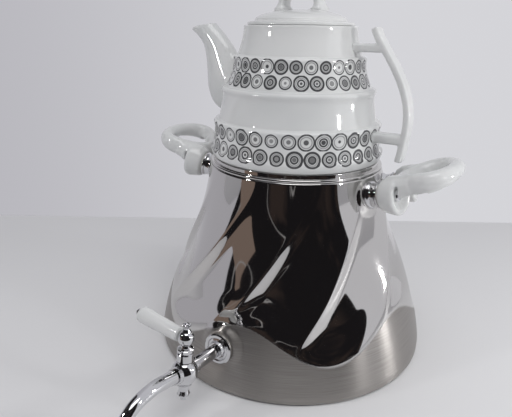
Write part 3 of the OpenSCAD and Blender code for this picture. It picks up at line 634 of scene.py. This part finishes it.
tapFrame = Matrix.Translation((0, -tapSeat, tap["height"])) @ turned(-tap["tilt"], "X")
tapAxis = tapFrame @ turned(90, "X")
plugFrame = tapFrame @ Matrix.Translation((0, -tap["reach"], 0))


def gripFrame(side, turn):  # x runs out along the handle; side is 1 on the right and -1 on the left
    seat = Matrix.Translation((gripSeat, 0, gripHeight))
    return turned((0 if side > 0 else 180) + turn, "Z") @ seat @ turned(-grip["tilt"], "Y")


footAxes = {side: [gripFrame(side, turn) @ turned(90, "Y") for turn in (grip["spread"], -grip["spread"])]
            for side in (1, -1)}
pads = [(tapAxis, tapAxis.inverted(), tap["padRadius"])]
pads += [(axis, axis.inverted(), grip["padRadius"]) for side in (1, -1) for axis in footAxes[side]]


def pressPads(point, inset):  # the wall is pressed flat where tap and handles are screwed on
    for axis, inverse, radius in pads:
        local = inverse @ point
        away = math.hypot(local.x, local.y) - radius
        if away > kettle["padBlend"] or abs(local.z) > kettle["padDepth"]:
            continue
        local.z = mix(-inset, local.z, ease(away / kettle["padBlend"]))
        point = axis @ local
    return point


def makeWall():
    turn = kettle["footRound"]
    corner = [(wallLow + turn * (1 - math.cos(a)), turn * (1 - math.sin(a)))
              for a in (math.pi / 2 * k / 5 for k in range(5))]
    climb = [(mix(wallLow + turn, wallTop, k / kettle["rows"]), 0) for k in range(kettle["rows"] + 1)]
    outside = [(z, inset) for z, inset in corner] + climb
    inside = [(z, inset + kettle["sheet"]) for z, inset in reversed(outside)]
    rings = []
    for z, inset in outside + inside:
        rings.append([pressPads(wallPoint(flute, k / kettle["perFlute"], z, inset), inset)
                      for flute in range(kettle["flutes"]) for k in range(kettle["perFlute"])])
    columns = len(rings[0])
    faces = weave(len(rings), columns, looped=True)
    wall = addPiece("fluted_wall", [p for ring in rings for p in ring], faces)
    return dress(wall, bandSteel, "kettle", "polished_steel", "kettle_body")


makeWall()
print("kettle wall made")


# The rolled collar, on which the teapot stands
collar = {"bore": 0.0615, "radius": 0.0685, "lip": 0.0056, "roll": 0.0026, "step": 0.0026,
          "sleeve": 0.009, "sheet": 0.001}


def makeCollar():
    rollRadius = collar["roll"] / 2
    middle = collar["radius"] - rollRadius
    roll = [(middle + rollRadius * math.cos(a), wallTop + rollRadius + rollRadius * math.sin(a))
            for a in (math.pi * (k / 16 - 0.5) for k in range(17))]
    bore, low, lip = collar["bore"], wallTop - collar["sleeve"], wallTop + collar["lip"]
    sleeve = bore + collar["sheet"]
    step = collar["radius"] - collar["step"]
    rollTop = wallTop + collar["roll"]
    inner = softened([(sleeve, wallTop), (sleeve, low, 0.0004), (bore, low, 0.0004), (bore, lip, 0.0012),
                      (step, lip, 0.0005), (step, rollTop - 0.0001, 0.0003), (middle, rollTop)])
    line = [tuple(p) for p in inner[:-1]] + list(reversed(roll))
    piece = lathe("rolled_collar", line, sides=192, closed=True)
    return dress(piece, mirrorSteel, "kettle", "polished_steel", "top_collar")


makeCollar()
print("collar made")


# The stand-offs of the side handles, two spools on each side
standoff = {"length": 0.009, "radius": 0.010, "waist": 0.0088, "bore": 0.0026, "flange": 0.0013,
            "edgeRound": 0.0004, "flangeRound": 0.0008, "waistRound": 0.0012}


def makeStandoff(side, name, node):
    s = standoff
    root, flange, length = s["flange"] * 1.9, s["flange"], s["length"]
    half = [(s["bore"], 0), (s["radius"], 0, s["edgeRound"]), (s["radius"], flange, s["flangeRound"]),
            (s["waist"], root, s["waistRound"])]
    mirrored = [(radius, length - height, *rounding) for radius, height, *rounding in reversed(half)]
    outline = [tuple(p) for p in softened(half + mirrored)]
    spools = [lathe(name, outline, axis, closed=True) for axis in footAxes[side]]
    return dress(join(name, spools), brightChrome, "kettle", "chrome", node)


# Each side handle: two bosses, dished for their screws, and a loop that springs from them.
# The reach and breadth are those of the opening in the loop
handle = {"cushion": 0.001, "bossLength": 0.015, "bossRadius": 0.015, "bossRoot": 0.0115,
          "reach": 0.024, "breadth": 0.042, "rise": 0.018, "wall": 0.006, "low": 0.011, "tall": 0.018,
          "sink": 0.0045, "slim": 0.2, "gap": 0.003,
          "dishRadius": 0.0125, "dishDepth": 0.005, "seat": 0.0055, "access": 0.007,
          "neckAngle": 105, "neckRadii": (0.011, 0.0075), "neckSink": 0.003, "neckStart": 0.45,
          "voxel": 0.0005, "smoothing": 40}
bossStart = standoff["length"] + handle["cushion"]


def loopRing(angle, sides=24):  # a section of the loop, which sinks and thickens towards the bosses
    h = handle

    def spot(s):
        out = bossStart + h["gap"] + h["wall"] + (h["reach"] / 2 + h["wall"]) * (1 + math.cos(s))
        taper = (1 + h["slim"] * math.cos(s)) / (1 + h["slim"] / 2)
        return Vector((out, (h["breadth"] / 2 + h["wall"]) * math.sin(s) * taper))
    along = (spot(angle + 0.02) - spot(angle - 0.02)).normalized()
    outward = Vector((along.y, -along.x))
    near = (1 - math.cos(angle)) / 2
    height = mix(h["low"], h["tall"], near ** 0.6)
    ring = []
    for k in range(sides):
        t = 2 * math.pi * k / sides
        flat = spot(angle) + outward * h["wall"] * math.cos(t)
        ring.append((flat.x, flat.y, h["rise"] - h["sink"] * near ** 2 - height / 2 * (1 - math.sin(t))))
    return ring


def makeNeck(side, foot, steps=8, sides=24):  # the shoulder by which a boss flows into the loop
    h = handle
    ring = loopRing(math.radians((h["neckAngle"], -h["neckAngle"])[foot]))
    end = gripFrame(side, 0) @ (sum((Vector(p) for p in ring), Vector()) / len(ring))
    start = footAxes[side][foot] @ Vector((-h["neckSink"], 0, bossStart + h["bossLength"] * h["neckStart"]))
    along = (end - start).normalized()
    across = along.cross(Vector((0, 0, 1))).normalized()
    up = across.cross(along)
    rings = []
    for k in range(steps + 1):
        radius = mix(*h["neckRadii"], ease(k / steps))
        rings.append([start.lerp(end, k / steps) + (across * math.cos(t) + up * math.sin(t)) * radius
                      for t in (2 * math.pi * i / sides for i in range(sides))])
    return loft("neck", rings)


def makeGrip(side, name, node):
    h = handle
    band = loft(name, [loopRing(2 * math.pi * k / 72) for k in range(72)], gripFrame(side, 0), looped=True)
    face = bossStart + h["bossLength"]
    dish, beyond = face - h["dishDepth"], face + 0.02
    bossLine = [tuple(p) for p in softened([
        (0, bossStart), (h["bossRoot"], bossStart, 0.002),
        (h["bossRoot"] + 0.0015, bossStart + 0.005, 0.004),
        (h["bossRadius"], face - 0.001, 0.003), (0, face)])]
    cutLine = [tuple(p) for p in softened([
        (0, dish), (h["seat"], dish, 0.001), (h["dishRadius"], face, 0.001),
        (h["dishRadius"], face + 0.001), (h["access"], face + 0.0012), (h["access"], beyond), (0, beyond)])]
    bosses = [lathe("boss", bossLine, axis) for axis in footAxes[side]]
    bosses += [makeNeck(side, foot) for foot in (0, 1)]
    cutter = join("cutter", [lathe("cutter", cutLine, axis) for axis in footAxes[side]])
    piece = join(name, [band] + bosses)
    addModifier(piece, "REMESH", mode="VOXEL", voxel_size=h["voxel"])
    addModifier(piece, "BOOLEAN", operation="DIFFERENCE", object=cutter, solver="EXACT")
    addModifier(piece, "REMESH", mode="VOXEL", voxel_size=h["voxel"])
    addModifier(piece, "SMOOTH", factor=0.5, iterations=h["smoothing"])
    settle(piece)
    bpy.data.objects.remove(cutter)
    return dress(piece, whitePorcelain, "kettle", "porcelain", node)


for side, word in ((1, "right"), (-1, "left")):
    makeStandoff(side, "standoff_spool_" + word, "standoff_" + word)
    makeGrip(side, "porcelain_loop_" + word, "grip_" + word)
print("side handles made")


# The tap's spout tube: it climbs, bends over in the crook, runs on and turns down in the beak
tube = {"rootRadius": 0.0046, "tipRadius": 0.0038, "bore": 0.0026, "start": 0.0065, "lift": 7,
        "climb": 0.021, "crook": 0.050, "slope": -9.5, "run": 0.003, "beak": 0.026, "end": 0.003,
        "lip": 0.0004, "sides": 48}


def tubeLine():  # points out from the plug and up, each with its slope
    line = []
    spot = Vector((0, 0))
    slope = math.radians(tube["lift"])

    def walk(length, bend, steps):
        nonlocal spot, slope
        for step in range(steps):
            slope += bend / steps / 2
            spot = spot + Vector((math.cos(slope), math.sin(slope))) * length / steps
            slope += bend / steps / 2
            line.append((spot.copy(), slope))
    start = Vector((math.cos(slope), math.sin(slope))) * tube["start"]
    spot = start
    line.append((spot.copy(), slope))
    walk(tube["climb"] - tube["start"], 0, 6)
    bend = math.radians(tube["slope"] - tube["lift"])
    walk(tube["crook"] * abs(bend), bend, 16)
    walk(tube["run"], 0, 2)
    bend = math.radians(-90 - tap["tilt"] - tube["slope"])
    walk(tube["beak"] * abs(bend), bend, 36)
    walk(tube["end"], 0, 3)
    return line


def makeTube():
    line = tubeLine()
    last = len(line) - 1

    def ring(spot, slope, radius):
        across = Vector((-math.sin(slope), math.cos(slope)))
        points = []
        for k in range(tube["sides"]):
            t = 2 * math.pi * k / tube["sides"]
            flat = spot + across * radius * math.cos(t)
            points.append((radius * math.sin(t), -flat.x, flat.y))
        return points
    outer = [ring(spot, slope, mix(tube["rootRadius"], tube["tipRadius"], k / last))
             for k, (spot, slope) in enumerate(line)]
    tip, fall = line[-1]
    outer[-1] = ring(tip, fall, tube["tipRadius"] - tube["lip"])
    beforeTip = tip - Vector((math.cos(fall), math.sin(fall))) * tube["lip"]
    outer.insert(-1, ring(beforeTip, fall, tube["tipRadius"]))
    inner = [ring(spot, slope, tube["bore"]) for spot, slope in reversed(line)]
    piece = loft("curved_spout", outer + inner, plugFrame, looped=True)
    return dress(piece, brightChrome, "kettle", "chrome", "spout_tube")


makeTube()
print("tap spout made")


# The teapot. Each tier has its base, height, lower radius and upper radius
pot = {"tiers": [(0, 0.029, 0.068, 0.0645), (0.029, 0.0245, 0.0615, 0.0583),
                 (0.0535, 0.0225, 0.0555, 0.0500), (0.076, 0.0207, 0.047, 0.0425)],
       "bead": [0.0009, 0.0012, 0.0004], "beadHeight": 0.0017, "shoulder": 0.0026, "curl": 0.0035,
       "curlHeight": 0.008, "footRadius": 0.060, "footDepth": 0.008, "under": 0.0015, "floor": 0.005,
       "wall": 0.0035, "mouth": 0.034, "sides": 288, "seam": 0.006}
potLow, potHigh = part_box("teapot")
potBase = potLow.z + pot["footDepth"]
rimHeight = potHigh.z - potBase


def tierOutline(tier, nextRadius, bead, first):
    base, height, foot, top = tier
    wallHeight = height - pot["shoulder"]
    line = []
    steps = 22
    for k in range(steps + 1):
        u = k / steps
        z = base + wallHeight * u
        if first and z < pot["curlHeight"]:
            continue
        r = mix(foot, top, math.sin(math.pi / 2 * u))
        lift = math.exp(-((z - base - wallHeight) / pot["beadHeight"]) ** 2)
        line.append(Vector((r + bead * lift, z)))
    for k in range(1, 7):  # the shoulder turns over to the next tier
        a = math.pi / 2 * k / 7
        r = mix(nextRadius + 0.0002, top + bead, math.cos(a) ** 0.8)
        line.append(Vector((r, base + wallHeight + pot["shoulder"] * math.sin(a))))
    return line


def potOutline():
    tiers = pot["tiers"]
    curl = pot["curl"]
    line = [Vector((tiers[0][2] - curl + curl * math.sin(a), pot["curlHeight"] * (1 - math.cos(a))))
            for a in (math.pi / 2 * k / 12 for k in range(12))]
    for k, tier in enumerate(tiers[:3]):
        line += tierOutline(tier, tiers[k + 1][2], pot["bead"][k], k == 0)
    base, height, foot, top = tiers[3]
    steps = 24
    for k in range(steps + 1):
        u = k / steps
        line.append(Vector((mix(foot, top, math.sin(math.pi / 2 * u)), base + (height - 0.0006) * u)))
    return line


def makePotBody():
    foot, depth = pot["footRadius"], pot["footDepth"]
    hollow, well = foot - pot["wall"], pot["floor"] - depth
    outer = potOutline()
    below = softened([(0, pot["under"] - depth), (foot - 0.006, pot["under"] - depth, 0.0006),
                      (foot - 0.0045, -depth, 0.0008), (foot - 0.0005, -depth, 0.0008), (foot, -0.0002)])
    rim = softened([(outer[-1].x, outer[-1].y), (outer[-1].x - 0.0003, rimHeight, 0.0008),
                    (pot["mouth"], rimHeight, 0.0008), (pot["mouth"], rimHeight - 0.004)])
    inner = [Vector((p.x - pot["wall"], p.y)) for p in reversed(outer[::3])
             if 0.010 < p.y < rimHeight - 0.006]
    floor = softened([(hollow, 0.002), (hollow, well, 0.004), (0, well)])
    line = [tuple(p) for p in below + outer + rim[1:] + inner + floor]
    return lathe("teapot_body", line, Matrix.Translation((0, 0, potBase)), sides=pot["sides"])


# Edges of the spout at each station: outer, inner, half its breadth; heights are shares of the rim's
potSpout = {"stations": [((0.058, 0.25), (0.046, 0.58), 0.013), ((0.076, 0.33), (0.050, 0.67), 0.0135),
                         ((0.0835, 0.455), (0.054, 0.735), 0.0125), ((0.0852, 0.62), (0.0585, 0.79), 0.011),
                         ((0.0862, 0.735), (0.062, 0.84), 0.010), ((0.089, 0.84), (0.0665, 0.89), 0.0092),
                         ((0.0945, 0.91), (0.072, 0.95), 0.0088), ((0.101, 0.96), (0.078, 1.005), 0.0085)],
            "wall": 0.003, "sides": 64, "steps": 10, "inside": 34}


def makePotSpout():
    s = potSpout
    outer = curveThrough([Vector((a[0], a[1] * rimHeight, w)) for a, b, w in s["stations"]], s["steps"])
    inner = curveThrough([Vector((b[0], b[1] * rimHeight, w)) for a, b, w in s["stations"]], s["steps"])

    def ring(k, inset, slide=0.0):
        a, b = outer[k].xy, inner[k].xy
        half = (a - b) / 2
        middle = (a + b) / 2 + Vector((half.y, -half.x)).normalized() * slide
        grow = (half.length - inset) / half.length
        points = []
        for i in range(s["sides"]):
            t = 2 * math.pi * i / s["sides"]
            points.append((-middle.x - half.x * grow * math.cos(t), (inset - outer[k].z) * math.sin(t),
                           middle.y + half.y * grow * math.cos(t)))
        return points
    top = len(outer) - 1
    rings = [ring(k, 0) for k in range(top)]
    for k in range(7):  # the rounded lip
        a = math.pi * k / 6
        rings.append(ring(top, s["wall"] / 2 * (1 - math.cos(a)), -s["wall"] / 2 * math.sin(a)))
    rings += [ring(k, s["wall"]) for k in range(top - 1, top - s["inside"], -1)]
    return loft("glazed_spout", rings, Matrix.Translation((0, 0, potBase)))


# The strap's middle line, and the two bridges that carry it: start, height, length and thickness
potStrap = {"line": [(0.0585, 0.99), (0.0615, 0.925), (0.0675, 0.835), (0.074, 0.736), (0.0795, 0.638),
                     (0.0833, 0.55), (0.086, 0.457), (0.087, 0.364), (0.0868, 0.271), (0.0858, 0.188),
                     (0.085, 0.116), (0.084, 0.06)],
            "bridges": [(0.044, 0.823, 0.022, 0.006), (0.062, 0.181, 0.024, 0.007)],
            "width": 0.014, "thick": 0.005, "squareness": 0.45, "voxel": 0.0006, "smoothing": 6}


def squircle(sides, power):  # points on a circle pressed towards a square, as shares of its half width
    points = []
    for i in range(sides):
        t = 2 * math.pi * i / sides
        c, s = math.cos(t), math.sin(t)
        points.append((math.copysign(abs(c) ** power, c), math.copysign(abs(s) ** power, s)))
    return points


def roundedBar(name, line, half, thick):  # a flat bar along a line in the xz plane
    rings = []
    for k, spot in enumerate(line):
        along = (line[min(k + 1, len(line) - 1)] - line[max(k - 1, 0)]).normalized()
        across = Vector((along.y, -along.x))
        ring = []
        for c, s in squircle(32, potStrap["squareness"]):
            flat = spot + across * thick / 2 * c
            ring.append((flat.x, half * s, flat.y))
        rings.append(ring)
    return loft(name, rings, Matrix.Translation((0, 0, potBase)))


def makePotStrap():
    s = potStrap
    line = curveThrough([Vector((x, share * rimHeight)) for x, share in s["line"]], 6)
    parts = [roundedBar("strap", line, s["width"] / 2, s["thick"])]
    for x, share, length, thick in s["bridges"]:  # each runs from inside the body to the strap
        level = share * rimHeight + thick / 2
        bar = [Vector((x + length * k / 8, level)) for k in range(9)]
        parts.append(roundedBar("bridge", bar, s["width"] / 2, thick))
    piece = join("glazed_strap", parts)
    addModifier(piece, "REMESH", mode="VOXEL", voxel_size=s["voxel"])
    addModifier(piece, "SMOOTH", factor=0.5, iterations=s["smoothing"])
    settle(piece)
    return piece


potBody = makePotBody()
potBeak = makePotSpout()
potHandle = makePotStrap()
blendSeam(potBody, potBeak, pot["seam"])
blendSeam(potBody, potHandle, pot["seam"] / 2)
dress(potBody, ringPorcelain, "teapot", "porcelain", "teapot")
dress(potBeak, whitePorcelain, "teapot", "porcelain", "teapot_spout")
dress(potHandle, whitePorcelain, "teapot", "porcelain", "teapot_handle")
print("teapot made")


# The lid and its loop, which spreads where it stands on the dome
lid = {"radius": 0.040, "edge": 0.0022, "dome": 0.011, "domeRadius": 0.0345, "skirtRadius": 0.0334,
       "skirt": 0.007, "wall": 0.003, "loopHeight": 0.019, "loopHalf": 0.015, "loopThick": 0.0046,
       "loopWidth": 0.013, "loopArc": (-14, 194), "spreadThick": 0.004, "spreadWidth": 0.002,
       "squareness": 0.55, "sides": 192, "seam": 0.005}
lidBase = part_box("lid")[0].z + lid["skirt"]


def makeLid():
    d = lid
    dome = [Vector((d["domeRadius"] * math.cos(a), mix(d["edge"] + 0.001, d["dome"], math.sin(a))))
            for a in (math.pi / 2 * k / 18 for k in range(18))]
    under = [Vector((p.x - d["wall"], p.y - d["wall"])) for p in reversed(dome[6:])]
    edge = softened([(d["skirtRadius"], 0), (d["radius"], 0, 0.0008),
                     (d["radius"] - 0.0004, d["edge"], 0.0008),
                     (d["domeRadius"] + 0.0012, d["edge"] + 0.0006, 0.0006), tuple(dome[0])])
    hollow = d["skirtRadius"] - d["wall"]
    skirt = softened([(hollow, 0.001), (hollow, -d["skirt"], 0.0008),
                      (d["skirtRadius"], -d["skirt"], 0.0008), (d["skirtRadius"], -0.0004)])
    line = [tuple(p) for p in under + skirt + edge[:-1] + dome]
    line = [(0, d["dome"] - d["wall"])] + line + [(0, d["dome"])]
    return lathe("lid_dome", line, Matrix.Translation((0, 0, lidBase)), sides=d["sides"])


def makeLidLoop(steps=60):
    d = lid
    rings = []
    for k in range(steps + 1):
        a = math.radians(mix(*d["loopArc"], k / steps))
        spread = max(0, 1 - abs(math.sin(a)) * 2.2) ** 2
        thick = d["loopThick"] + d["spreadThick"] * spread
        width = d["loopWidth"] / 2 + d["spreadWidth"] * spread
        height = d["dome"] + (d["loopHeight"] - d["loopThick"] / 2) * math.sin(a)
        middle = Vector((d["loopHalf"] * math.cos(a), height))
        out = Vector((math.cos(a), math.sin(a) * 0.9 + 0.05)).normalized()
        ring = []
        for c, s in squircle(32, d["squareness"]):
            flat = middle + out * thick / 2 * c
            ring.append((flat.x, width * s, flat.y))
        rings.append(ring)
    return loft("lid_loop_strap", rings, Matrix.Translation((0, 0, lidBase)))


lidDome = makeLid()
lidLoop = makeLidLoop()
blendSeam(lidDome, lidLoop, lid["seam"])
for piece in (lidDome, lidLoop):
    dress(piece, whitePorcelain, "lid", "porcelain", "lid")
print("lid made")


# The nodes that keep their own shape get the finish of their slot
slots = {part["node"]: part["material_slot"] for part in frame["record"]["subparts"]}
for name, node in frame["nodes"].items():
    node.data.materials.clear()
    node.data.materials.append(slotFinish[slots[name]])
print("nodes dressed")
